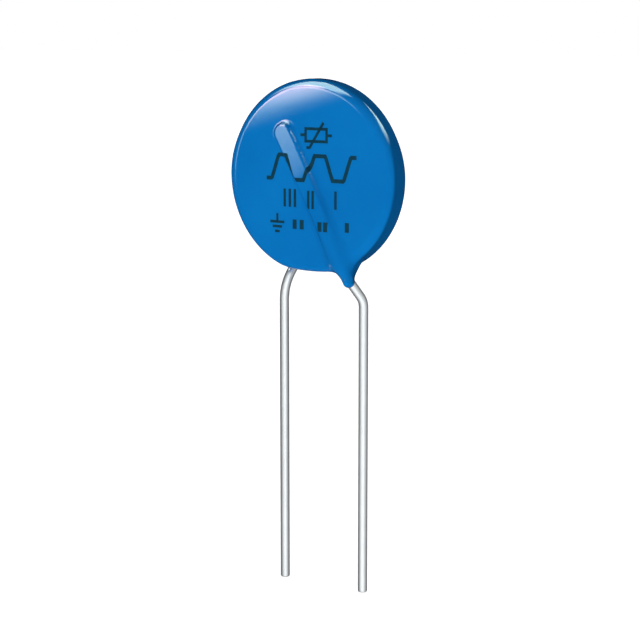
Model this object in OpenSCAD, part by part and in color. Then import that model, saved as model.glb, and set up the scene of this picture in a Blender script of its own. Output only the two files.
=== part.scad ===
// Disc varistor. A sintered ceramic disc carries a silver electrode and a soldered wire
// lead on each face, and the whole is dipped in epoxy, which leaves a ridge over each
// lead and runs down it a little way. Millimetres, +Z up, both faces of the disc along Y.
// The origin is midway between the leads, at the height where both have become straight:
// that is where the top of a circuit board comes.

/* [Ceramic disc] */
// Diameter of the ceramic disc
ceramic_d = 19; // [16:0.5:22]
// Thickness of the ceramic disc
ceramic_t = 2; // [1.4:0.1:3]
// Chamfer on both rims of the ceramic disc
ceramic_chamfer = 0.15; // [0.05:0.05:0.3]
// Height of the disc's centre above the origin
disc_lift = 13.4; // [12.8:0.1:15]
// Distance of the disc's centre along X from the middle of the leads
disc_shift = -0.9; // [-1.2:0.1:0]
// Thickness of each fired silver electrode
electrode_t = 0.05; // [0.03:0.01:0.1]
// Bare ceramic left round each electrode
electrode_margin = 0.8; // [0.5:0.1:1.5]

/* [Leads] */
// Diameter of the lead wire
lead_d = 1; // [0.8:0.05:1.1]
// Distance between the leads where they are straight
lead_pitch = 10; // [9:0.5:11]
// Length of the straight leads below the origin
lead_length = 30.8; // [5:0.1:40]
// Chamfer at the cut end of each lead
lead_chamfer = 0.12; // [0.05:0.01:0.2]
// How far the soldered end of each lead rises above the disc's centre
lead_rise = 4.7; // [3:0.1:6]
// Radius of the bend where each lead leaves the plane of the disc's face
turn_r = 1.5; // [1:0.1:2]
// Lean of the front lead from the vertical, on the disc's face, in degrees
front_lean = 29; // [27:0.5:31]
// Distance from the disc's centre to the front lead's line
front_miss = 0.7; // [0.4:0.1:1]
// How far outside the ceramic's rim the front lead turns
front_turn_out = 1.65; // [1.3:0.05:1.8]
// Height above the origin of the front lead's lower bend, where its two straights would meet
front_knee = 0.65; // [0.5:0.05:0.9]
// Lean of the back lead from the vertical, on the disc's face, in degrees
back_lean = 27; // [25:0.5:29]
// Distance from the disc's centre to the back lead's line
back_miss = 1.1; // [0.8:0.1:1.3]
// How far outside the ceramic's rim the back lead turns
back_turn_out = 0.15; // [0.05:0.05:0.4]
// Height above the origin of the back lead's lower bend, where its two straights would meet
back_knee = 1.6; // [1.2:0.1:1.8]

/* [Solder] */
// Thickness of the solder film between a lead and its electrode
solder_film = 0.05; // [0.03:0.01:0.1]
// Radius of the hollow fillets of solder beside each lead
solder_fillet = 0.6; // [0.4:0.05:0.7]
// Thickness of the solder at its thin edges, on the electrode and on the lead
solder_edge = 0.04; // [0.02:0.01:0.08]

/* [Coating] */
// Thickness of the coating over the faces
coat_face = 0.5; // [0.35:0.05:0.8]
// Thickness of the coating round the ceramic's rim
coat_rim = 0.72; // [0.5:0.01:1]
// Thickness of the coating over the leads on the faces
coat_lead = 0.2; // [0.15:0.01:0.35]
// Thickness of the coating where it ends on a lead
coat_end = 0.05; // [0.04:0.01:0.1]
// Rounding of the coating's two rims
rim_round = 1; // [0.7:0.05:1.2]
// Height of the flat that the coating's draining leaves at the bottom of the rim
chin_flat = 0.2; // [0.1:0.05:0.5]
// Width of the rounding where the flat blends into the rim
chin_blend = 0.7; // [0.4:0.05:1]
// Width of the hollow beside each ridge at the soldered end of its lead
ridge_blend = 0.3; // [0.2:0.05:0.7]
// Width of that hollow where the ridge has come down to the rim, and on the run-down
neck_blend = 1.75; // [1:0.05:2]
// How far the coating follows the front lead's line past its turn
front_run_down = 0.6; // [0.4:0.05:0.8]
// How far the coating follows the back lead's line past its turn
back_run_down = 0.3; // [0.2:0.05:0.5]
// Radius of the web of coating between the rim and each lead
web_r = 0.6; // [0.5:0.05:0.8]
// How far above each turn the web starts
web_rise = 1.2; // [1:0.05:1.6]

/* [Hidden] */
$fn = 64;
// How much thicker the wire is in its bends, on the radius
bend_swell = 0.004;
// How far each straight reaches into a bend
bend_lap = 0.08;

// Sizes that follow from the ones above
centre = [disc_shift, 0, disc_lift];
lead_r = lead_d / 2;
ceramic_r = ceramic_d / 2;
electrode_r = ceramic_r - electrode_margin;
electrode_top = ceramic_t / 2 + electrode_t;
lead_seat = electrode_top + solder_film + lead_r;
coat_r = ceramic_r + coat_rim;
coat_half = electrode_top + coat_face;
sleeve_r = lead_r + coat_lead;
sleeve_end_r = lead_r + coat_end;
chin_z = disc_lift - coat_r + chin_flat;

// A lead's route. It is a list of values, which these names pick out.
SIDE = 0;
RUN = 1;
ROOT = 2;
HUB = 3;
TURN = 4;
KNEE = 5;
COAT_END = 6;

// side is -1 on the front face and 1 on the back face. The front lead runs down to the
// right and the back lead down to the left, seen from the front.
function route(side, lean, miss, turn_out, knee, run_down) =
    let (run = [-side * sin(lean), 0, -cos(lean)],
         hub = centre + miss * [side * cos(lean), 0, -sin(lean)] + [0, side * lead_seat, 0],
         reach = sqrt(pow(ceramic_r + turn_out, 2) - miss * miss),
         turn = hub + reach * run,
         root = hub + (lead_rise - (hub.z - disc_lift)) / run.z * run)
    [side, run, root, hub, turn, [-side * lead_pitch / 2, 0, knee], turn + run_down * run];

front = route(-1, front_lean, front_miss, front_turn_out, front_knee, front_run_down);
back = route(1, back_lean, back_miss, back_turn_out, back_knee, back_run_down);

// Wire, drawn upward from where it is cut off

function unit(v) = v / norm(v);

// A straight of wire up from the origin, lapping into the bends at its ends
module straight_wire(length, low_lap, high_lap) {
    translate([0, 0, -low_lap]) cylinder(r = lead_r, h = length + low_lap + high_lap);
}

// A bend from the origin, where the wire comes up along +Z, towards +X
module wire_bend(angle, bend_r) {
    translate([bend_r, 0, 0]) rotate([90, 0, 180])
        rotate_extrude(angle = angle) translate([bend_r, 0]) circle(r = lead_r + bend_swell);
}

// Places what follows the bend, with its own +Z where the wire now points
module past_bend(angle, bend_r) {
    translate(bend_r * [1 - cos(angle), 0, sin(angle)]) rotate([0, angle, 0]) children();
}

module lead(path) {
    rise = unit(path[TURN] - path[KNEE]);
    knee_angle = acos(rise.z);
    knee_cut = path[KNEE].z;
    knee_r = knee_cut / tan(knee_angle / 2);
    bearing = atan2(rise.y, rise.x);
    turn_angle = acos(-path[RUN] * rise);
    turn_cut = turn_r * tan(turn_angle / 2);
    // The upper bend's plane is turned about the wire from the lower one's
    forward = [cos(knee_angle) * cos(bearing), cos(knee_angle) * sin(bearing), -sin(knee_angle)];
    sideways = [-sin(bearing), cos(bearing), 0];
    twist = atan2(-path[RUN] * sideways, -path[RUN] * forward);
    slope_length = norm(path[TURN] - path[KNEE]) - knee_cut - turn_cut;
    face_length = norm(path[ROOT] - path[TURN]) - turn_cut;
    translate([path[KNEE].x, 0, 0]) {
        translate([0, 0, -lead_length])
            cylinder(r1 = lead_r - lead_chamfer, r2 = lead_r, h = lead_chamfer);
        translate([0, 0, lead_chamfer - lead_length])
            straight_wire(lead_length - lead_chamfer, 0, bend_lap);
        rotate([0, 0, bearing]) {
            wire_bend(knee_angle, knee_r);
            past_bend(knee_angle, knee_r) {
                straight_wire(slope_length, bend_lap, bend_lap);
                translate([0, 0, slope_length]) rotate([0, 0, twist]) {
                    wire_bend(turn_angle, turn_r);
                    past_bend(turn_angle, turn_r) straight_wire(face_length, bend_lap, 0);
                }
            }
        }
    }
}

module front_lead() {
    color("silver") lead(front);
}

module back_lead() {
    color("silver") lead(back);
}

// Ceramic disc and electrodes

module ceramic_disc() {
    half = ceramic_t / 2;
    cut = ceramic_chamfer;
    color("dimgray") translate(centre) rotate([90, 0, 0]) rotate_extrude()
        polygon([[0, -half], [ceramic_r - cut, -half], [ceramic_r, cut - half],
                 [ceramic_r, half - cut], [ceramic_r - cut, half], [0, half]]);
}

module electrode(side) {
    color("gainsboro") translate(centre + [0, side * (ceramic_t + electrode_t) / 2, 0])
        rotate([90, 0, 0]) cylinder(r = electrode_r, h = electrode_t, center = true);
}

module front_electrode() {
    electrode(-1);
}

module back_electrode() {
    electrode(1);
}

// Solder

// A matrix that carries +X, +Y and +Z to the axes given, and the origin to a point
function placed(x, y, z, p) = [[x.x, y.x, z.x, p.x], [x.y, y.y, z.y, p.y],
                               [x.z, y.z, z.z, p.z], [0, 0, 0, 1]];

solder_gap = solder_film + lead_r;
solder_rise = solder_edge + solder_fillet;
fillet_reach = lead_r + solder_edge + solder_fillet;
solder_half_w = sqrt(pow(fillet_reach, 2) - pow(solder_rise - solder_gap, 2));
solder_h = solder_gap + (lead_r + solder_edge) * (solder_rise - solder_gap) / fillet_reach;

// Half of the solder's section: X is across the lead and Y is away from the electrode
module solder_half_section() {
    difference() {
        square([solder_half_w, solder_h]);
        translate([solder_half_w, solder_rise]) circle(r = solder_fillet);
    }
}

// The strip along the lead, with a round end past the wire's, kept to the electrode
module solder_mass(path) {
    outward = [0, path[SIDE], 0];
    across = cross(outward, path[RUN]);
    foot = path[ROOT] - solder_gap * outward;
    intersection() {
        union() {
            multmatrix(placed(across, outward, path[RUN], foot))
                linear_extrude(norm(path[TURN] - path[ROOT])) {
                    solder_half_section();
                    mirror([1, 0]) solder_half_section();
                }
            multmatrix(placed(across, -path[RUN], outward, foot))
                rotate_extrude(angle = 180) solder_half_section();
        }
        translate(centre + electrode_top * outward) rotate([-90 * path[SIDE], 0, 0])
            cylinder(r = electrode_r, h = solder_h);
    }
}

module front_solder() {
    color("lightslategray") difference() {
        solder_mass(front);
        lead(front);
    }
}

module back_solder() {
    color("lightslategray") difference() {
        solder_mass(back);
        lead(back);
    }
}

// Coating
// Its outer skin is where the function coat() of a point is nothing: the function is
// below nothing inside, and its parts melt into each other as the liquid epoxy did.

function blend(a, b, width) = min(a, b) - pow(max(width - abs(a - b), 0), 2) / (4 * width);

// Distance to a bar from a to b with round ends, whose radius goes from ra to rb
function bar(p, a, b, ra, rb) =
    let (ab = b - a, share = min(1, max(0, (p - a) * ab / (ab * ab))))
    norm(p - a - share * ab) - ra - (rb - ra) * share;

function dipped_disc(p) =
    let (out = norm([p.x - centre.x, p.z - centre.z]) - coat_r + rim_round,
         up = abs(p.y) - coat_half + rim_round,
         disc = norm([max(out, 0), max(up, 0)]) + min(max(out, up), 0) - rim_round)
    -blend(-disc, p.z - chin_z, chin_blend);

function rim_point(path) = path[HUB] + (coat_r - rim_round) * path[RUN];
function web_point(path) =
    let (p = path[TURN] - web_rise * path[RUN])
    [p.x, 0, p.z];

function lead_cover(p, path) =
    min(bar(p, path[ROOT], rim_point(path), sleeve_r, sleeve_r),
        blend(bar(p, rim_point(path), path[COAT_END], sleeve_r, sleeve_end_r),
              bar(p, web_point(path), path[COAT_END], web_r, sleeve_end_r), web_r / 2));

// The hollow beside a ridge widens down to the rim, and dies out through the disc
function hollow_width(p, path) =
    let (down = (p - path[ROOT]) * path[RUN] / norm(rim_point(path) - path[ROOT]),
         through = 1 + path[SIDE] * p.y / coat_half)
    ridge_blend + (neck_blend - ridge_blend) * min(1, max(0, down)) * min(1, max(0, through));

function covered(p, disc, path) = blend(disc, lead_cover(p, path), hollow_width(p, path));

function coat(p) =
    let (disc = dipped_disc(p))
    min(covered(p, disc, front), covered(p, disc, back));

// Where a ray from p along d passes through the skin, between two distances from p
function skin(p, d, near = 0, far = 6, steps = 14) =
    let (half = (near + far) / 2)
    steps == 0 ? p + half * d
    : coat(p + half * d) < 0 ? skin(p, d, half, far, steps - 1)
    : skin(p, d, near, half, steps - 1);

// The skin is drawn on spokes round the disc and rings from one face to the other. The
// spokes are set close together towards each lead's neck and its upper end. On a face the
// rings go out from a hub on the ridge, and round the rim they turn with the ray.
fan_r = coat_r - coat_half;
fan_steps = 20;
fan_half = 19;
neck_spokes = 11;
neck_evenness = 0.2;
root_spokes = 6;
root_evenness = 0.4;
chin_spokes = 3;
side_spokes = 11;
crown_spokes = 4;
neck_spread = 10;
base_shift = 0.75;
ray_crowding = 0.55;
hub_rings = 7;
middle_rings = 6;
end_rings = 6;
outer_rings = 2;

// The bearing from the disc's centre of a lead's turn, and that of its line's upper end
function neck_bearing(path) = atan2(path[TURN].z - centre.z, path[TURN].x - centre.x);
function root_bearing(path) =
    let (rise = sqrt(pow(fan_r, 2) - pow(norm(path[HUB] - centre), 2)),
         end = path[HUB] - rise * path[RUN])
    atan2(end.z - centre.z, end.x - centre.x);

front_neck = neck_bearing(front);
back_neck = neck_bearing(back);
front_root = root_bearing(front);
back_root = root_bearing(back);

// Bearings to both sides of one, closest together at it, the less even the closer
function fan(at, count, evenness) =
    [for (i = [-count:count])
        let (share = abs(i) / count)
        at + fan_half * sign(i) * share * (evenness + (1 - evenness) * share)];
function between(a, b, count) = [for (i = [1:count - 1]) a + (b - a) * i / count];
function open_arc(a, b, count) = between(a + fan_half, b - fan_half, count);

spokes = concat(fan(back_neck, neck_spokes, neck_evenness),
                open_arc(back_neck, front_neck, chin_spokes),
                fan(front_neck, neck_spokes, neck_evenness),
                open_arc(front_neck, back_root, side_spokes),
                fan(back_root, root_spokes, root_evenness),
                open_arc(back_root, front_root, crown_spokes),
                fan(front_root, root_spokes, root_evenness),
                open_arc(front_root, back_neck + 360, side_spokes));

// How much of a neck there is at a bearing: 1 on it, falling to nothing beside it
function nearness(bearing, at) = exp(-pow((bearing - at) / neck_spread, 2));

function fan_base(bearing) =
    let (lean = nearness(bearing, back_neck) - nearness(bearing, front_neck))
    centre + [fan_r * cos(bearing), lean * coat_half * base_shift, fan_r * sin(bearing)];

// The ray's turn from the front, -90, to the back, 90, with small steps at a neck's end
function fan_angle(step, bearing) =
    let (s = 2 * step / fan_steps - 1,
         neck = nearness(bearing, back_neck) + nearness(bearing, front_neck))
    90 * s * (1 - ray_crowding * neck * (1 - s * s));

function fan_point(step, bearing) =
    let (a = fan_angle(step, bearing))
    skin(fan_base(bearing), [cos(a) * cos(bearing), sin(a), cos(a) * sin(bearing)]);

// Shares of the way from a face's hub to the fan, close together where they cross the
// ridge at the hub and where they go round its upper end
function face_shares(path) =
    let (hub_edge = (sleeve_r + hollow_width(path[HUB], path)) / fan_r,
         end = norm(path[ROOT] - path[HUB]) / fan_r,
         end_in = end - sleeve_r / fan_r,
         end_out = end + 2 * sleeve_r / fan_r,
         growth = pow(end_in / hub_edge, 1 / middle_rings))
    concat(between(0, hub_edge, hub_rings),
           [for (i = [0:middle_rings]) hub_edge * pow(growth, i)],
           between(end_in, end_out, end_rings), [end_out],
           between(end_out, 1, outer_rings));

function face_ring(path, share) =
    let (hub = [path[HUB].x, 0, path[HUB].z])
    [for (bearing = spokes)
        let (edge = centre + fan_r * [cos(bearing), 0, sin(bearing)])
        skin(hub + share * (edge - hub), [0, path[SIDE], 0])];

front_shares = face_shares(front);
back_shares = face_shares(back);
skin_rings = concat([for (share = front_shares) face_ring(front, share)],
                    [for (step = [0:fan_steps]) [for (bearing = spokes) fan_point(step, bearing)]],
                    [for (i = [len(back_shares) - 1:-1:0]) face_ring(back, back_shares[i])]);

module coating_skin() {
    n = len(spokes);
    last = len(skin_rings) * n;
    hubs = [for (path = [front, back]) skin([path[HUB].x, 0, path[HUB].z], [0, path[SIDE], 0])];
    points = concat([for (ring = skin_rings) each ring], hubs);
    bands = [for (i = [0:len(skin_rings) - 2], j = [0:n - 1])
        let (a = i * n + j, b = i * n + (j + 1) % n)
        each [[a, b, a + n], [b, b + n, a + n]]];
    front_cap = [for (j = [0:n - 1]) [(j + 1) % n, j, last]];
    back_cap = [for (j = [0:n - 1]) [last - n + j, last - n + (j + 1) % n, last + 1]];
    polyhedron(points = points, faces = concat(bands, front_cap, back_cap));
}

module coating() {
    color("dodgerblue") difference() {
        coating_skin();
        ceramic_disc();
        electrode(-1);
        electrode(1);
        solder_mass(front);
        solder_mass(back);
        lead(front);
        lead(back);
    }
}

coating();
ceramic_disc();
front_electrode();
back_electrode();
front_solder();
back_solder();
front_lead();
back_lead();
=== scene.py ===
# Disc varistor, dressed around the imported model. The coating, the leads and the ink are
# made here in millimetres, in the model's own frame, and mesh_object turns them into metres.
import math

import bpy
import numpy as np
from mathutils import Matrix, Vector


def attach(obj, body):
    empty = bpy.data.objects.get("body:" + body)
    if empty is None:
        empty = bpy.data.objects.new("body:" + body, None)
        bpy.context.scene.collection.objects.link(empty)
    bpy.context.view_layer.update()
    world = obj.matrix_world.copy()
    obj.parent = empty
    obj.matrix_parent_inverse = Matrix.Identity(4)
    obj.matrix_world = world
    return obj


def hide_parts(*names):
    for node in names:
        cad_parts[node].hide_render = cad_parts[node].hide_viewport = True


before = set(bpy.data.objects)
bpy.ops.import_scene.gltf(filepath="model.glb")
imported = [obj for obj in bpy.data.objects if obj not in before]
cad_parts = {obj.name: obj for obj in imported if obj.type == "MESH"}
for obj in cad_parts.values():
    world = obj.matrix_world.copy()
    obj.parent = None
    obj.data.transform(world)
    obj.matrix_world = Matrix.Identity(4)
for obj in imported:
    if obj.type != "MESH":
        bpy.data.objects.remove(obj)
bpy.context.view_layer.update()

MM = 0.001

# Sizes that the part's source also has, in millimetres
CERAMIC_R = 9.5
CERAMIC_T = 2
ELECTRODE_T = 0.05
DISC_LIFT = 13.4
DISC_SHIFT = -0.9
LEAD_R = 0.5
LEAD_PITCH = 10
LEAD_LENGTH = 30.8
LEAD_CHAMFER = 0.12
LEAD_RISE = 4.7
TURN_R = 1.5
SOLDER_FILM = 0.05
COAT_FACE = 0.5
COAT_RIM = 0.72
COAT_LEAD = 0.2
COAT_END = 0.05
RIM_ROUND = 1.0
CHIN_FLAT = 0.2
CHIN_BLEND = 0.7
RIDGE_BLEND = 0.3
NECK_BLEND = 1.75
WEB_R = 0.6
WEB_RISE = 1.2

CENTRE = np.array([DISC_SHIFT, 0, DISC_LIFT])
ELECTRODE_TOP = CERAMIC_T / 2 + ELECTRODE_T
LEAD_SEAT = ELECTRODE_TOP + SOLDER_FILM + LEAD_R
COAT_R = CERAMIC_R + COAT_RIM
COAT_HALF = ELECTRODE_TOP + COAT_FACE
SLEEVE_R = LEAD_R + COAT_LEAD
SLEEVE_END_R = LEAD_R + COAT_END
CHIN_Z = DISC_LIFT - COAT_R + CHIN_FLAT
FAN_R = COAT_R - COAT_HALF

# The visual rim. From the middle down the face bends over EDGE_R, and the side cuts the bend
# off in a narrow edge. ROUND_RISE above the middle it is round, as in the part's source.
FACE_R = COAT_R - RIM_ROUND
EDGE_R = 1.35
EDGE_BLEND = 0.12
ROUND_RISE = 5.0

# How far the face falls away at the top edge, the bearing it falls towards, and how late
CROWN_DROP = 0.08
CROWN_BEARING = 104
CROWN_POWER = 5

# The visual ridges: half the width, the rounding of the edges, how far the flat top lies
# beside the wire and bows out on its way down, and the slope of the flanks at the lead's end
RIDGE_HALF = 1.0
RIDGE_EDGE = 0.2
RIDGE_SHIFT = 0.3
RIDGE_BOW = 3
FLANK_LEAN = 0.5

# The flat top climbs from RIDGE_LOW until it meets a line that falls from RIDGE_HIGH to the
# round bar's top at the rim. Both are heights over the disc's middle plane.
RIDGE_LOW = 2.11
RIDGE_SLOPE = 0.036
RIDGE_HIGH = 2.42
RIDGE_TOP_BLEND = 0.1

# How far short of the lead's soldered end the visual ridge and wire stop
RIDGE_BACK = 0.4
WIRE_BACK = 0.25

# Keeps a division from meeting zero
LEAST = 1e-6


def unit(v):
    return v / np.linalg.norm(v)


def polar(degrees):
    a = math.radians(degrees)
    return np.array([math.cos(a), 0, math.sin(a)])


class Route:
    """Where one lead runs: down its face along run, from root past hub, the point nearest the
    disc's centre, to its turn and its knee."""

    def __init__(self, side, lean, miss, turn_out, knee, run_down):
        a = math.radians(lean)
        self.side = side
        self.run = np.array([-side * math.sin(a), 0, -math.cos(a)])
        self.hub = CENTRE + miss * np.array([side * math.cos(a), 0, -math.sin(a)])
        self.hub[1] = side * LEAD_SEAT
        reach = math.sqrt((CERAMIC_R + turn_out) ** 2 - miss**2)
        self.turn = self.hub + reach * self.run
        climb = (LEAD_RISE - (self.hub[2] - DISC_LIFT)) / self.run[2]
        self.root = self.hub + climb * self.run
        self.knee = np.array([-side * LEAD_PITCH / 2, 0, knee])
        self.foot = np.array([-side * LEAD_PITCH / 2, 0, -LEAD_LENGTH])
        self.coat_end = self.turn + run_down * self.run
        self.rim_point = self.hub + (COAT_R - RIM_ROUND) * self.run
        self.web_point = self.turn - WEB_RISE * self.run
        self.web_point[1] = 0
        self.tip = self.root + WIRE_BACK * self.run
        self.ridge_top = self.root + RIDGE_BACK * self.run


FRONT = Route(side=-1, lean=29, miss=0.7, turn_out=1.65, knee=0.65, run_down=0.6)
BACK = Route(side=1, lean=27, miss=1.1, turn_out=0.15, knee=1.6, run_down=0.3)


# The coating's function: nothing on its skin, and less than nothing inside


def blend(a, b, width):
    """The smaller of two values, melted together over that width."""
    return np.minimum(a, b) - np.maximum(width - np.abs(a - b), 0) ** 2 / (4 * width)


def bar(p, a, b, ra, rb):
    """A round bar from a to b, with its own radius at each end."""
    ab = b - a
    share = np.clip((p - a) @ ab / (ab @ ab), 0, 1)
    return np.linalg.norm(p - a - share[:, None] * ab, axis=1) - ra - (rb - ra) * share


def round_edge(out, up, radius):
    """Two walls that meet in a round edge. out and up are distances from the walls, each
    moved in by the radius."""
    corner = np.hypot(np.maximum(out, 0), np.maximum(up, 0))
    return corner + np.minimum(np.maximum(out, up), 0) - radius


def ridge(p, path):
    """A bar over the lead, flat on top with sloping flanks at the lead's end, and round where
    it comes to the rim. Its sizes change with its share of the way between the two."""
    length = np.linalg.norm(path.rim_point - path.ridge_top)
    down = (p - path.ridge_top) @ path.run
    share = np.clip(down / length, 0, 1)
    across = path.side * np.array([path.run[2], 0, -path.run[0]])
    shift = RIDGE_SHIFT * (1 + RIDGE_BOW * share) * (1 - share)
    off = p - path.ridge_top - (share * length)[:, None] * path.run - shift[:, None] * across
    half = RIDGE_HALF + (SLEEVE_R - RIDGE_HALF) * share**2
    edge = RIDGE_EDGE + (SLEEVE_R - RIDGE_EDGE) * share**3
    climb = RIDGE_LOW + RIDGE_SLOPE * down
    fall = RIDGE_HIGH + (LEAD_SEAT + SLEEVE_R - RIDGE_HIGH) * share
    top = blend(climb, fall, RIDGE_TOP_BLEND)
    # The bar reaches from the disc's middle plane up to its top
    above = np.abs(path.side * p[:, 1] - top / 2) - top / 2 + edge
    far = np.hypot(off[:, 0], off[:, 2])
    flank = FLANK_LEAN * (1 - share) * np.abs(off @ across) / np.maximum(far, LEAST)
    beside = far - half + flank * np.minimum(above, 0)
    return round_edge(beside / np.hypot(1, flank) + edge, above, edge)


def dipped_disc(p):
    """The coated disc, less the flat where it drained."""
    r = np.hypot(p[:, 0] - CENTRE[0], p[:, 2] - CENTRE[2])
    reach = np.clip((p - CENTRE) @ polar(CROWN_BEARING), 0, FACE_R) / FACE_R
    crown = CROWN_DROP * reach**CROWN_POWER
    rise = np.clip((p[:, 2] - DISC_LIFT) / ROUND_RISE, 0, 1)
    edge = EDGE_R + (RIM_ROUND - EDGE_R) * rise**2 * (3 - 2 * rise)
    plate = round_edge(r - FACE_R, np.abs(p[:, 1]) - COAT_HALF + crown + edge, edge)
    disc = -blend(-plate, COAT_R - r, EDGE_BLEND)
    return -blend(-disc, p[:, 2] - CHIN_Z, CHIN_BLEND)


def lead_cover(p, path):
    neck = bar(p, path.rim_point, path.coat_end, SLEEVE_R, SLEEVE_END_R)
    web = bar(p, path.web_point, path.coat_end, WEB_R, SLEEVE_END_R)
    return np.minimum(ridge(p, path), blend(neck, web, WEB_R / 2))


def covered(p, disc, path):
    """The disc and one lead's cover, with a hollow that widens from the lead's end to the rim
    and dies out through the disc."""
    down = np.clip((p - path.root) @ path.run / np.linalg.norm(path.rim_point - path.root), 0, 1)
    through = np.clip(1 + path.side * p[:, 1] / COAT_HALF, 0, 1)
    width = RIDGE_BLEND + (NECK_BLEND - RIDGE_BLEND) * down**2 * through
    return blend(disc, lead_cover(p, path), width)


def coat(p):
    disc = dipped_disc(p)
    return np.minimum(covered(p, disc, FRONT), covered(p, disc, BACK))


def skin(start, direction, far=6.0, steps=26):
    """Where rays from inside pass through the skin, found by halving."""
    low, high = np.zeros(len(start)), np.full(len(start), far)
    for _ in range(steps):
        half = (low + high) / 2
        inside = coat(start + half[:, None] * direction) < 0
        low, high = np.where(inside, half, low), np.where(inside, high, half)
    return start + ((low + high) / 2)[:, None] * direction


def skin_normals(p, step=0.01):
    slopes = [coat(p + step * axis) - coat(p - step * axis) for axis in np.eye(3)]
    n = np.stack(slopes, 1)
    return n / np.linalg.norm(n, axis=1)[:, None]


# Mesh helpers


def mesh_object(name, points, faces, body="root"):
    """points in millimetres."""
    mesh = bpy.data.meshes.new(name)
    mesh.from_pydata((np.asarray(points) * MM).tolist(), [], faces)
    mesh.validate()
    mesh.shade_smooth()
    obj = bpy.data.objects.new(name, mesh)
    bpy.context.scene.collection.objects.link(obj)
    if body:
        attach(obj, body)
    return obj


def between(a, b, count):
    """Values from a to b, both left out, in that many steps."""
    return list(np.linspace(a, b, count + 1)[1:-1])


# The coating's mesh, on spokes crowded along the ridges and necks

# Degrees on each side of a ridge or neck in which spokes are crowded, and the spread in
# degrees over which a neck crowds the rim's rings
FAN_HALF = 19
NECK_SPREAD = 10

# Steps on each side of a fan, and how even they are from 0 to 1
NECK_FAN = (32, 0.3)
RIDGE_FAN = (20, 0.4)

# Steps between two fans: along each side, between the necks, and between the leads' ends
SIDE_STEPS = 44
BOTTOM_STEPS = 10
TOP_STEPS = 6

# Rings of a face, from its hub along the lead and past the lead's end to the edge, and rings
# round the rim
HUB_RINGS = 16
LEAD_RINGS = 22
END_RINGS = 22
EDGE_RINGS = 10
RIM_RINGS = 96


def bearing(p):
    return math.degrees(math.atan2(p[2] - CENTRE[2], p[0] - CENTRE[0]))


def root_bearing(path):
    miss = math.hypot(*(path.hub - CENTRE)[[0, 2]])
    return bearing(path.hub - math.sqrt(FAN_R**2 - miss**2) * path.run)


def fan(at, count, evenness):
    i = np.arange(-count, count + 1)
    share = np.abs(i) / count
    return list(at + FAN_HALF * np.sign(i) * share * (evenness + (1 - evenness) * share))


def open_arc(a, b, count):
    return between(a + FAN_HALF, b - FAN_HALF, count)


front_neck, back_neck = bearing(FRONT.turn), bearing(BACK.turn)
front_root, back_root = root_bearing(FRONT), root_bearing(BACK)
spokes = np.array(
    fan(back_neck, *NECK_FAN)
    + open_arc(back_neck, front_neck, BOTTOM_STEPS)
    + fan(front_neck, *NECK_FAN)
    + open_arc(front_neck, back_root, SIDE_STEPS)
    + fan(back_root, *RIDGE_FAN)
    + open_arc(back_root, front_root, TOP_STEPS)
    + fan(front_root, *RIDGE_FAN)
    + open_arc(front_root, back_neck + 360, SIDE_STEPS)
)
spoke_dirs = np.array([polar(b) for b in spokes])


def nearness(at):
    return np.exp(-(((spokes - at) / NECK_SPREAD) ** 2))


def face_ring(path, share):
    hub = np.array([path.hub[0], 0, path.hub[2]])
    edge = CENTRE + FAN_R * spoke_dirs
    start = hub + share * (edge - hub)
    return skin(start, np.tile([0.0, path.side, 0.0], (len(spokes), 1)))


def face_shares(path):
    """How far out the rings of a face lie, from 0 at its hub to 1 at its edge."""
    hub_edge = (SLEEVE_R + RIDGE_BLEND) / FAN_R
    end = np.linalg.norm(path.root - path.hub) / FAN_R
    end_in, end_out = end - SLEEVE_R / FAN_R, end + 2 * SLEEVE_R / FAN_R
    growth = (end_in / hub_edge) ** (np.arange(LEAD_RINGS + 1) / LEAD_RINGS)
    return (
        between(0, hub_edge, HUB_RINGS)
        + list(hub_edge * growth)
        + between(end_in, end_out, END_RINGS)
        + [end_out]
        + between(end_out, 1, EDGE_RINGS)
    )


def rim_ring(step, shift=0.75, crowding=0.55):
    """One ring round the rim. Near the necks the rings start nearer to the neck's side, by
    shift, and are crowded together."""
    front_near, back_near = nearness(front_neck), nearness(back_neck)
    base = CENTRE + FAN_R * spoke_dirs
    base[:, 1] = (back_near - front_near) * COAT_HALF * shift
    s = 2 * step / RIM_RINGS - 1
    turn = np.radians(90 * s * (1 - crowding * (front_near + back_near) * (1 - s * s)))
    direction = np.cos(turn)[:, None] * spoke_dirs
    direction[:, 1] = np.sin(turn)
    return skin(base, direction)


def coating_mesh():
    rings = [face_ring(FRONT, s) for s in face_shares(FRONT)]
    rings += [rim_ring(i) for i in range(RIM_RINGS + 1)]
    rings += [face_ring(BACK, s) for s in reversed(face_shares(BACK))]
    n, last = len(spokes), len(rings) * len(spokes)
    hubs = [face_ring(path, 0.0)[0] for path in (FRONT, BACK)]
    points = np.concatenate(rings + [np.array(hubs)])
    faces = []
    for i in range(len(rings) - 1):
        for j in range(n):
            k = (j + 1) % n
            faces.append((i * n + j, (i + 1) * n + j, (i + 1) * n + k, i * n + k))
    faces += [(j, (j + 1) % n, last) for j in range(n)]
    faces += [(last - n + (j + 1) % n, last - n + j, last + 1) for j in range(n)]
    return points, faces


points, faces = coating_mesh()
coating = mesh_object("coating_skin", points, faces)
coating.data.normals_split_custom_set_from_vertices(skin_normals(points).tolist())
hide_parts("coating")


# Leads

# Rings of the cut end: how far they are up and in, as multiples of the chamfer
END_UPS = (0.0, 0.001, 0.12, 0.35, 0.65, 1.0)
END_INSETS = np.array([2.2, 1.15, 0.62, 0.3, 0.1, 0.0])

# Rings of the long straight stretch, as shares of its length
STRAIGHT_SHARES = (0.02, 0.25, 0.5, 0.75, 0.97)


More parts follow.
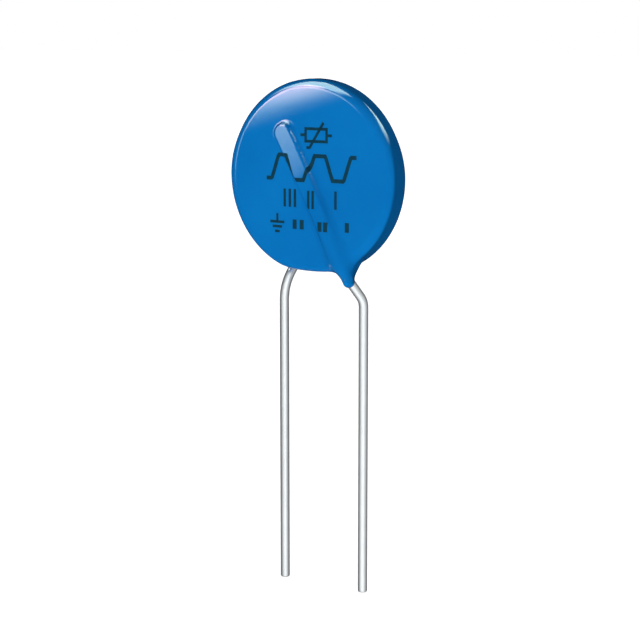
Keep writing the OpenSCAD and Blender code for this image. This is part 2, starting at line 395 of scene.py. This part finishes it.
def rounded_route(corners, radii, steps=24):
    """A polyline with an arc of each radius at its inner corners."""
    line = [corners[0]]
    for before, at, after, r in zip(corners, corners[1:], corners[2:], radii):
        a, b = unit(before - at), unit(after - at)
        half = math.acos(np.clip(a @ b, -1, 1)) / 2
        cut = r / math.tan(half)
        middle = at + unit(a + b) * r / math.sin(half)
        start, end = at + cut * a - middle, at + cut * b - middle
        sweep = math.acos(np.clip(start @ end / r**2, -1, 1))
        for t in np.linspace(0, 1, steps + 1):
            w = [math.sin((1 - t) * sweep), math.sin(t * sweep)]
            line.append(middle + (w[0] * start + w[1] * end) / math.sin(sweep))
    return np.array(line + [corners[-1]])


def tube(line, radii, sides=64):
    """A round bar along a line, with its own radius at each point, closed by flat ends."""
    tangents = np.gradient(line, axis=0)
    tangents /= np.linalg.norm(tangents, axis=1)[:, None]
    across = unit(np.cross(tangents[0], [0, 1, 0]))
    turns = np.linspace(0, 2 * math.pi, sides, endpoint=False)
    points, faces = [], []
    for p, t, r in zip(line, tangents, radii):
        across = unit(across - (across @ t) * t)
        other = np.cross(t, across)
        points += [p + r * (math.cos(a) * across + math.sin(a) * other) for a in turns]
    for i in range(len(line) - 1):
        for j in range(sides):
            k = (j + 1) % sides
            faces.append((i * sides + j, i * sides + k, (i + 1) * sides + k, (i + 1) * sides + j))
    first, last = list(range(sides)), list(range(len(points) - sides, len(points)))
    return points, faces + [first[::-1], last]


def lead_mesh(path):
    """The wire, from its cut end up. Its knee's bend ends at height 0."""
    rise = unit(path.turn - path.knee)
    knee_r = path.knee[2] / math.tan(math.acos(rise[2]) / 2)
    line = rounded_route([path.foot, path.knee, path.turn, path.tip], [knee_r, TURN_R])
    end = [path.foot + np.array([0, 0, LEAD_CHAMFER * up]) for up in END_UPS]
    straight = [path.foot * (1 - t) + line[1] * t for t in STRAIGHT_SHARES]
    line = np.array(end + straight + list(line[1:]))
    radii = np.full(len(line), LEAD_R)
    radii[: len(end)] -= LEAD_CHAMFER * END_INSETS
    return tube(line, radii)


leads = {}
for name, path in (("front_lead", FRONT), ("back_lead", BACK)):
    wire = mesh_object(name + "_wire", *lead_mesh(path))
    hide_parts(name)
    leads[name] = wire


# Ink on the front face: plain marks only, laid on the skin

# How far the ink stands over the skin and reaches under it, and the size of its cells
INK_UP = 0.012
INK_DOWN = 0.03
INK_CELL = 0.12

# Strokes that cross lie on levels, a small step apart
INK_LEVELS = 3
INK_STEP = 0.001


def on_front(u, w):
    """Points on the front skin, and their normals, from places across and up its centre."""
    start = np.stack([CENTRE[0] + u, np.zeros_like(u), CENTRE[2] + w], 1)
    p = skin(start, np.tile([0.0, -1.0, 0.0], (len(u), 1)))
    return p, skin_normals(p)


def stroke(line, width, closed=False):
    """A flat-ended band along a line, as rows of places across it."""
    line = np.array(line, float)
    count = len(line)
    offsets = []
    for i in range(count):
        before = line[i] - line[i - 1] if closed or i > 0 else line[1] - line[0]
        after = line[(i + 1) % count] - line[i] if closed or i < count - 1 else before
        a, b = unit(before), unit(after)
        na, nb = np.array([-a[1], a[0]]), np.array([-b[1], b[0]])
        middle = unit(na + nb)
        offsets.append(middle / (middle @ na))
    across = np.linspace(-width / 2, width / 2, max(2, math.ceil(width / INK_CELL) + 1))
    rows = []
    for i in range(count if closed else count - 1):
        j = (i + 1) % count
        steps = max(1, math.ceil(np.linalg.norm(line[j] - line[i]) / INK_CELL))
        for k in range(steps):
            t = k / steps
            offset = (1 - t) * offsets[i] + t * offsets[j]
            rows.append((1 - t) * line[i] + t * line[j] + across[:, None] * offset)
    if not closed:
        rows.append(line[-1] + across[:, None] * offsets[-1])
    return np.array(rows), closed


def ink_mesh(strokes):
    points, faces = [], []
    for number, (rows, closed) in enumerate(strokes):
        n, m = rows.shape[:2]
        p, normal = on_front(rows[..., 0].ravel(), rows[..., 1].ravel())
        base, half = sum(map(len, points)), n * m
        lift = INK_UP + INK_STEP * (number % INK_LEVELS)
        points += [p + lift * normal, p - INK_DOWN * normal]
        last = n if closed else n - 1
        for i in range(last):
            a, b = base + i * m, base + (i + 1) % n * m
            for j in range(m - 1):
                faces.append((a + j, b + j, b + j + 1, a + j + 1))
                faces.append((half + a + j, half + a + j + 1, half + b + j + 1, half + b + j))
            for j, turn in ((0, 1), (m - 1, -1)):
                faces.append((a + j, half + a + j, half + b + j, b + j)[::turn])
        if not closed:
            for i, turn in ((0, -1), (n - 1, 1)):
                a = base + i * m
                for j in range(m - 1):
                    faces.append((a + j, half + a + j, half + a + j + 1, a + j + 1)[::turn])
    return np.concatenate(points), faces


# The marks, in millimetres across and up from the disc's centre

SYMBOL_LINE = 0.3
WAVE_LINE = 0.42
EARTH_STEM = 0.26
EARTH_LINE = 0.28
BAR_LINE = 0.3
SQUARE_LINE = 0.5

WAVE_MIDDLE = (0.35, 1.0)
WAVE_HALF = 5.6
WAVE_HEIGHT = 1.25
WAVE_CYCLES = 2.5
WAVE_DRIVE = 1.7
WAVE_POINTS = 97

EARTH_X = -3.9
EARTH_TOP = -3.95
# Half width and height of each of its three lines
EARTH_LINES = ((0.9, -4.85), (0.6, -5.35), (0.3, -5.85))


def bars(places, low, high, width):
    return [stroke([(x, low), (x, high)], width) for x in places]


def varistor_symbol():
    box = [(-0.3, 3.75), (2.3, 3.75), (2.3, 5.05), (-0.3, 5.05)]
    return [
        stroke(box, SYMBOL_LINE, closed=True),
        stroke([(-0.95, 4.4), (-0.45, 4.4)], SYMBOL_LINE),
        stroke([(2.45, 4.4), (2.95, 4.4)], SYMBOL_LINE),
        stroke([(-0.2, 3.1), (0.2, 3.1), (1.9, 5.7)], SYMBOL_LINE),
    ]


def clipped_wave():
    """A sine driven past its limits and cut off there, as a varistor does to a surge."""
    share = np.linspace(-1, 1, WAVE_POINTS)
    swing = np.clip(WAVE_DRIVE * np.sin(share * WAVE_CYCLES * math.pi), -1, 1)
    line = np.stack([WAVE_MIDDLE[0] + WAVE_HALF * share, WAVE_MIDDLE[1] + WAVE_HEIGHT * swing], 1)
    # A level stretch needs only its two ends
    level = (swing == np.roll(swing, 1)) & (swing == np.roll(swing, -1))
    return [stroke(line[~level], WAVE_LINE)]


def earth_symbol():
    stem = stroke([(EARTH_X, EARTH_TOP), (EARTH_X, EARTH_LINES[0][1])], EARTH_STEM)
    return [stem] + [
        stroke([(EARTH_X - half, height), (EARTH_X + half, height)], EARTH_LINE)
        for half, height in EARTH_LINES
    ]


MARKS = {
    "ink_varistor_symbol": varistor_symbol(),
    "ink_clipped_wave": clipped_wave(),
    "ink_bar_row": bars((-2.95, -2.3, -1.65, 0.55, 1.1, 3.4), low=-3.2, high=-1.3, width=BAR_LINE),
    "ink_earth_symbol": earth_symbol(),
    "ink_square_row": bars((-1.7, -0.8, 1.95, 2.65, 4.8), low=-5.5, high=-4.5, width=SQUARE_LINE),
}
ink = []
for name, strokes in MARKS.items():
    mark = mesh_object(name, *ink_mesh(strokes))
    mark.data.shade_flat()
    ink.append(mark)


# Nodes that the materials and the light share


def link(tree, source, target):
    tree.links.new(source, target)


def feed(tree, value, socket):
    """A number is set on the socket, and a node's output is linked to it."""
    if isinstance(value, (int, float)):
        socket.default_value = value
    else:
        link(tree, value, socket)


def math_node(tree, operation, *values):
    node = tree.nodes.new("ShaderNodeMath")
    node.operation = operation
    for value, socket in zip(values, node.inputs):
        feed(tree, value, socket)
    return node.outputs["Value"]


def along(tree, vector, axis):
    """How far a vector reaches along an axis."""
    node = tree.nodes.new("ShaderNodeVectorMath")
    node.operation = "DOT_PRODUCT"
    node.inputs[1].default_value = axis
    link(tree, vector, node.inputs[0])
    return node.outputs["Value"]


def map_range(tree, value, start, end, low, high, softly=False):
    """low where the value is at start, and high where it is at end."""
    node = tree.nodes.new("ShaderNodeMapRange")
    if softly:
        node.interpolation_type = "SMOOTHSTEP"
    node.inputs["From Min"].default_value = start
    node.inputs["From Max"].default_value = end
    node.inputs["To Min"].default_value = low
    node.inputs["To Max"].default_value = high
    link(tree, value, node.inputs["Value"])
    return node.outputs["Result"]


def show_to(tree, rays, surface, output):
    """The surface for those rays, and nothing for all others."""
    clear = tree.nodes.new("ShaderNodeBsdfTransparent")
    mix = tree.nodes.new("ShaderNodeMixShader")
    link(tree, rays, mix.inputs["Fac"])
    link(tree, clear.outputs["BSDF"], mix.inputs[1])
    link(tree, surface, mix.inputs[2])
    link(tree, mix.outputs["Shader"], output.inputs["Surface"])


# Materials

# The stretch of the noise over which colours change
NOISE_LOW, NOISE_HIGH = 0.3, 0.7


def new_material(name):
    material = bpy.data.materials.new(name)
    material.use_nodes = True
    tree = material.node_tree
    return material, tree, tree.nodes["Principled BSDF"]


def object_noise(tree, scale, detail, stretch=(1, 1, 1)):
    """Noise in the piece's own space; scale is per metre."""
    place = tree.nodes.new("ShaderNodeTexCoord")
    mapping = tree.nodes.new("ShaderNodeMapping")
    mapping.inputs["Scale"].default_value = stretch
    noise = tree.nodes.new("ShaderNodeTexNoise")
    noise.inputs["Scale"].default_value = scale
    noise.inputs["Detail"].default_value = detail
    link(tree, place.outputs["Object"], mapping.inputs["Vector"])
    link(tree, mapping.outputs["Vector"], noise.inputs["Vector"])
    return noise.outputs["Fac"]


def vary_colour(tree, noise, dark, light, target):
    node = tree.nodes.new("ShaderNodeValToRGB")
    stops = ((NOISE_LOW, dark), (NOISE_HIGH, light))
    for element, (place, colour) in zip(node.color_ramp.elements, stops):
        element.position = place
        element.color = (*colour, 1)
    link(tree, noise, node.inputs["Fac"])
    link(tree, node.outputs["Color"], target)


def vary_value(tree, noise, low, high, target):
    link(tree, map_range(tree, noise, 0, 1, low, high), target)


def add_bump(tree, shader, noise, depth):
    node = tree.nodes.new("ShaderNodeBump")
    node.inputs["Distance"].default_value = depth
    link(tree, noise, node.inputs["Height"])
    link(tree, node.outputs["Normal"], shader.inputs["Normal"])


def epoxy_material():
    """A blue body under a clear, smooth gloss."""
    material, tree, shader = new_material("blue_epoxy")
    broad = object_noise(tree, scale=140, detail=2)
    dark, light = (0.0022, 0.15, 0.46), (0.003, 0.17, 0.5)
    vary_colour(tree, broad, dark, light, shader.inputs["Base Color"])
    fine = object_noise(tree, scale=900, detail=4)
    vary_value(tree, fine, 0.16, 0.22, shader.inputs["Roughness"])
    shader.inputs["Specular IOR Level"].default_value = 0
    shader.inputs["Coat Weight"].default_value = 1
    shader.inputs["Coat Roughness"].default_value = 0
    add_bump(tree, shader, object_noise(tree, scale=260, detail=1), depth=0.01 * MM)
    return material


def tin_material():
    """Tin with fine marks drawn out along the wire."""
    material, tree, shader = new_material("bright_tin")
    shader.inputs["Metallic"].default_value = 1
    broad = object_noise(tree, scale=500, detail=3)
    dark, light = (0.7, 0.735, 0.75), (0.745, 0.78, 0.795)
    vary_colour(tree, broad, dark, light, shader.inputs["Base Color"])
    drawn = object_noise(tree, scale=6000, detail=2, stretch=(1, 1, 0.02))
    vary_value(tree, drawn, 0.3, 0.36, shader.inputs["Roughness"])
    add_bump(tree, shader, drawn, depth=0.0005 * MM)
    return material


def ink_material():
    material, tree, shader = new_material("dark_ink")
    broad = object_noise(tree, scale=2500, detail=4)
    dark, light = (0.003, 0.034, 0.056), (0.0045, 0.044, 0.072)
    vary_colour(tree, broad, dark, light, shader.inputs["Base Color"])
    fine = object_noise(tree, scale=3500, detail=3)
    vary_value(tree, fine, 0.4, 0.6, shader.inputs["Roughness"])
    shader.inputs["Specular IOR Level"].default_value = 0.05
    return material


def plain_material(name, dark, light, scale, roughness, metallic=0, spread=0.06):
    """One noise for colour, bump and roughness, which varies by the spread to both sides."""
    material, tree, shader = new_material(name)
    shader.inputs["Metallic"].default_value = metallic
    noise = object_noise(tree, scale, detail=5)
    vary_colour(tree, noise, dark, light, shader.inputs["Base Color"])
    vary_value(tree, noise, roughness - spread, roughness + spread, shader.inputs["Roughness"])
    add_bump(tree, shader, noise, depth=0.01 * MM)
    return material


def dress(obj, material):
    obj.data.materials.clear()
    obj.data.materials.append(material)


dress(coating, epoxy_material())
tin = tin_material()
for wire in leads.values():
    dress(wire, tin)
dark_ink = ink_material()
for mark in ink:
    dress(mark, dark_ink)

ceramic = plain_material(
    "zinc_oxide", (0.05, 0.055, 0.05), (0.085, 0.09, 0.085), scale=3000, roughness=0.7
)
silver = plain_material(
    "fired_silver", (0.62, 0.6, 0.55), (0.74, 0.72, 0.68), scale=2500, roughness=0.45, metallic=1
)
solder = plain_material(
    "solder", (0.5, 0.5, 0.5), (0.62, 0.62, 0.61), scale=1200, roughness=0.3, metallic=1
)
for node, material in (
    ("ceramic_disc", ceramic),
    ("front_electrode", silver),
    ("back_electrode", silver),
    ("front_solder", solder),
    ("back_solder", solder),
):
    dress(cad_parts[node], material)


# Directions round the part, where azimuth 0 is the front and grows to the right


def outward(azimuth, elevation):
    a, e = math.radians(azimuth), math.radians(elevation)
    return Vector((math.sin(a) * math.cos(e), -math.cos(a) * math.cos(e), math.sin(e)))


def level_right(azimuth):
    """Level, and to the right of someone who looks at the part from that azimuth."""
    a = math.radians(azimuth)
    return Vector((math.cos(a), math.sin(a), 0))


# Floor, seen only by the camera. All light comes from the world's soft boxes.

FLOOR_HALF = 3000.0
FLOOR_GLOW = 0.75


def floor_material():
    material, tree, shader = new_material("pale_floor")
    shader.inputs["Roughness"].default_value = 0.9
    shader.inputs["Specular IOR Level"].default_value = 0
    shader.inputs["Emission Color"].default_value = (1, 1, 1, 1)
    shader.inputs["Emission Strength"].default_value = FLOOR_GLOW
    broad = object_noise(tree, scale=3, detail=2)
    dark, light = (0.84, 0.84, 0.84), (0.87, 0.87, 0.87)
    vary_colour(tree, broad, dark, light, shader.inputs["Base Color"])
    rays = tree.nodes.new("ShaderNodeLightPath")
    output = tree.nodes["Material Output"]
    show_to(tree, rays.outputs["Is Camera Ray"], shader.outputs["BSDF"], output)
    return material


corners = [(x, y, -LEAD_LENGTH) for x, y in ((-1, -1), (1, -1), (1, 1), (-1, 1))]
floor_points = np.array(corners) * [FLOOR_HALF, FLOOR_HALF, 1]
floor = mesh_object("floor", floor_points, [(0, 1, 2, 3)], body=None)
dress(floor, floor_material())


# A curved card round the leads, which only their glints see

CARD_R = 42.0
CARD_LOW, CARD_HIGH = -100.0, 60.0
CARD_SIDES = 144

# It is brightest at its azimuth and dims to both sides until its fade, in degrees
CARD_AZIMUTH = 37
CARD_FADE = 108
CARD_BRIGHT, CARD_DIM = 1.28, 0.14


def card_material():
    material = bpy.data.materials.new("card")
    material.use_nodes = True
    tree = material.node_tree
    tree.nodes.clear()
    place = tree.nodes.new("ShaderNodeTexCoord").outputs["Object"]
    ahead = along(tree, place, outward(CARD_AZIMUTH, 0))
    angle = math_node(tree, "ARCCOSINE", math_node(tree, "DIVIDE", ahead, CARD_R * MM))
    glow = map_range(tree, angle, 0, math.radians(CARD_FADE), CARD_BRIGHT, CARD_DIM)
    emission = tree.nodes.new("ShaderNodeEmission")
    link(tree, glow, emission.inputs["Strength"])
    # The leads blur what they mirror, and the coating's gloss doesn't, so this picks their rays.
    rays = tree.nodes.new("ShaderNodeLightPath").outputs
    blurred = math_node(tree, "SUBTRACT", rays["Is Glossy Ray"], rays["Is Singular Ray"])
    output = tree.nodes.new("ShaderNodeOutputMaterial")
    show_to(tree, blurred, emission.outputs["Emission"], output)
    return material


around = np.radians(np.linspace(0, 360, CARD_SIDES, endpoint=False))
rim = np.stack([CARD_R * np.sin(around), -CARD_R * np.cos(around)], 1)
card_points = [(x, y, z) for z in (CARD_LOW, CARD_HIGH) for x, y in rim]
card_faces = []
for j in range(CARD_SIDES):
    k = (j + 1) % CARD_SIDES
    card_faces.append((j, k, CARD_SIDES + k, CARD_SIDES + j))
card = mesh_object("card", card_points, card_faces, body=None)
dress(card, card_material())


# Light

WHITE = (1, 1, 1)
WARM_TINT = (1, 0.66, 0.7)
COOL_TINT = (0.74, 1, 0.88)

# Light between the boxes, and what the camera sees behind the floor
DIFFUSE_BASE = 0.09
WARM_BASE = 0.01
COOL_BASE = 0
BACKDROP = 1.0

# Limits of a box's sides: the widest angle, and the least share of a ray that goes ahead
WIDEST = 88
LEAST_AHEAD = 0.001

# The mix node's sockets by number, for numbers and for colours
MIX_FACTOR = 0
MIX_NUMBERS = (2, 3)
MIX_COLOURS = (6, 7)
MIX_NUMBER_OUT = 0
MIX_COLOUR_OUT = 2


class Sky:
    """The studio's light by direction, built from soft boxes."""

    def __init__(self):
        self.world = bpy.data.worlds.new("studio")
        self.world.use_nodes = True
        self.tree = self.world.node_tree
        self.tree.nodes.clear()
        self.way = self.tree.nodes.new("ShaderNodeTexCoord").outputs["Generated"]
        self.rays = self.tree.nodes.new("ShaderNodeLightPath").outputs

    def math(self, operation, *values):
        return math_node(self.tree, operation, *values)

    def toward(self, axis):
        return along(self.tree, self.way, axis)

    def fade(self, value, start, end):
        """1 below start and 0 above end, softly."""
        return map_range(self.tree, value, start, end, 1, 0, softly=True)

    def box(self, azimuth, elevation, wide, tall, soft, strength, roll=0, low=None, high=None):
        """A soft box seen from the part: its middle's direction, half sizes, soft edge and roll
        in degrees. low and high cut its lower and upper side along the front lead's line."""
        out, level = outward(azimuth, elevation), level_right(azimuth)
        rise, r = level.cross(out), math.radians(roll)
        right = math.cos(r) * level + math.sin(r) * rise
        up = math.cos(r) * rise - math.sin(r) * level
        ahead = self.math("MAXIMUM", self.toward(out), LEAST_AHEAD)
        light = strength
        for axis, half in ((right, wide), (up, tall)):
            reach = self.math("ABSOLUTE", self.math("DIVIDE", self.toward(axis), ahead))
            full = math.tan(math.radians(max(half - soft, 0)))
            none = math.tan(math.radians(min(half + soft, WIDEST)))
            light = self.math("MULTIPLY", self.fade(reach, full, none), light)
        if low:
            light = self.math("MULTIPLY", self.fade(self.toward(FRONT.run), *low), light)
        if high:
            below = self.math("SUBTRACT", 1, self.fade(self.toward(FRONT.run), *high))
            light = self.math("MULTIPLY", below, light)
        return light

    def total(self, base, boxes):
        light = base
        for box in boxes:
            light = self.math("ADD", self.box(**box), light)
        return light

    def by_ray(self, kind, otherwise, value):
        """A value for rays of that kind, and another for the rest."""
        node = self.tree.nodes.new("ShaderNodeMix")
        link(self.tree, self.rays[kind], node.inputs[MIX_FACTOR])
        for v, place in zip((otherwise, value), MIX_NUMBERS):
            feed(self.tree, v, node.inputs[place])
        return node.outputs[MIX_NUMBER_OUT]

    def tint(self, colour):
        """That colour for glossy rays, and white for the rest."""
        node = self.tree.nodes.new("ShaderNodeMix")
        node.data_type = "RGBA"
        link(self.tree, self.rays["Is Glossy Ray"], node.inputs[MIX_FACTOR])
        for c, place in zip((WHITE, colour), MIX_COLOURS):
            node.inputs[place].default_value = (*c, 1)
        return node.outputs[MIX_COLOUR_OUT]

    def background(self, strength, colour):
        node = self.tree.nodes.new("ShaderNodeBackground")
        link(self.tree, strength, node.inputs["Strength"])
        link(self.tree, colour, node.inputs["Color"])
        return node.outputs["Background"]

    def finish(self, diffuse, warm, cool, seen):
        """White for the camera and for diffuse rays, and two tints of highlight."""
        white = self.by_ray("Is Camera Ray", self.by_ray("Is Glossy Ray", diffuse, warm), seen)
        both = self.tree.nodes.new("ShaderNodeAddShader")
        link(self.tree, self.background(white, self.tint(WARM_TINT)), both.inputs[0])
        cool = self.by_ray("Is Glossy Ray", 0, cool)
        link(self.tree, self.background(cool, self.tint(COOL_TINT)), both.inputs[1])
        output = self.tree.nodes.new("ShaderNodeOutputWorld")
        link(self.tree, both.outputs["Shader"], output.inputs["Surface"])
        bpy.context.scene.world = self.world


DIFFUSE_BOXES = [
    dict(azimuth=21, elevation=-10, wide=20, tall=20, soft=15, strength=6.4),
    dict(azimuth=205, elevation=35, wide=30, tall=25, soft=15, strength=2.4),
    dict(azimuth=-60, elevation=-50, wide=25, tall=25, soft=15, strength=1.2),
]
WARM_BOXES = [
    dict(azimuth=-38.5, elevation=16.6, wide=6, tall=15, soft=2.6, strength=14.5),
]
COOL_BOXES = [
    dict(azimuth=-43, elevation=50, wide=18, tall=26, soft=4, strength=11.0),
    dict(azimuth=-37, elevation=2, wide=11, tall=14, soft=4, strength=4.8,
         low=(-0.29, -0.24), high=(-0.5, -0.44)),
    dict(azimuth=124, elevation=40, wide=23, tall=18, soft=4, strength=10.0, roll=-15,
         low=(-0.32, -0.02)),
]
sky = Sky()
diffuse = sky.total(DIFFUSE_BASE, DIFFUSE_BOXES)
warm = sky.total(WARM_BASE, WARM_BOXES)
cool = sky.total(COOL_BASE, COOL_BOXES)
sky.finish(diffuse, warm, cool, BACKDROP)


# Camera, at the photograph's viewing angle

CAMERA_AZIMUTH = 33.25
CAMERA_ELEVATION = 9.42
CAMERA_DISTANCE = 188.41
CAMERA_LENS = 100
CAMERA_SENSOR = 36
TARGET_RIGHT = -0.36
TARGET_UP = -1.79

# Nearest and farthest distance that it sees, in metres
CAMERA_NEAR, CAMERA_FAR = 0.01, 20

back = outward(CAMERA_AZIMUTH, CAMERA_ELEVATION)
target = level_right(CAMERA_AZIMUTH) * TARGET_RIGHT + Vector((0, 0, TARGET_UP))
camera_data = bpy.data.cameras.new("camera")
camera_data.lens = CAMERA_LENS
camera_data.sensor_width = CAMERA_SENSOR
camera_data.clip_start = CAMERA_NEAR
camera_data.clip_end = CAMERA_FAR
camera = bpy.data.objects.new("camera", camera_data)
camera.location = (target + back * CAMERA_DISTANCE) * MM
camera.rotation_mode = "QUATERNION"
camera.rotation_quaternion = (-back).to_track_quat("-Z", "Y")
bpy.context.scene.collection.objects.link(camera)
bpy.context.scene.camera = camera
bpy.context.scene.view_settings.view_transform = "Standard"
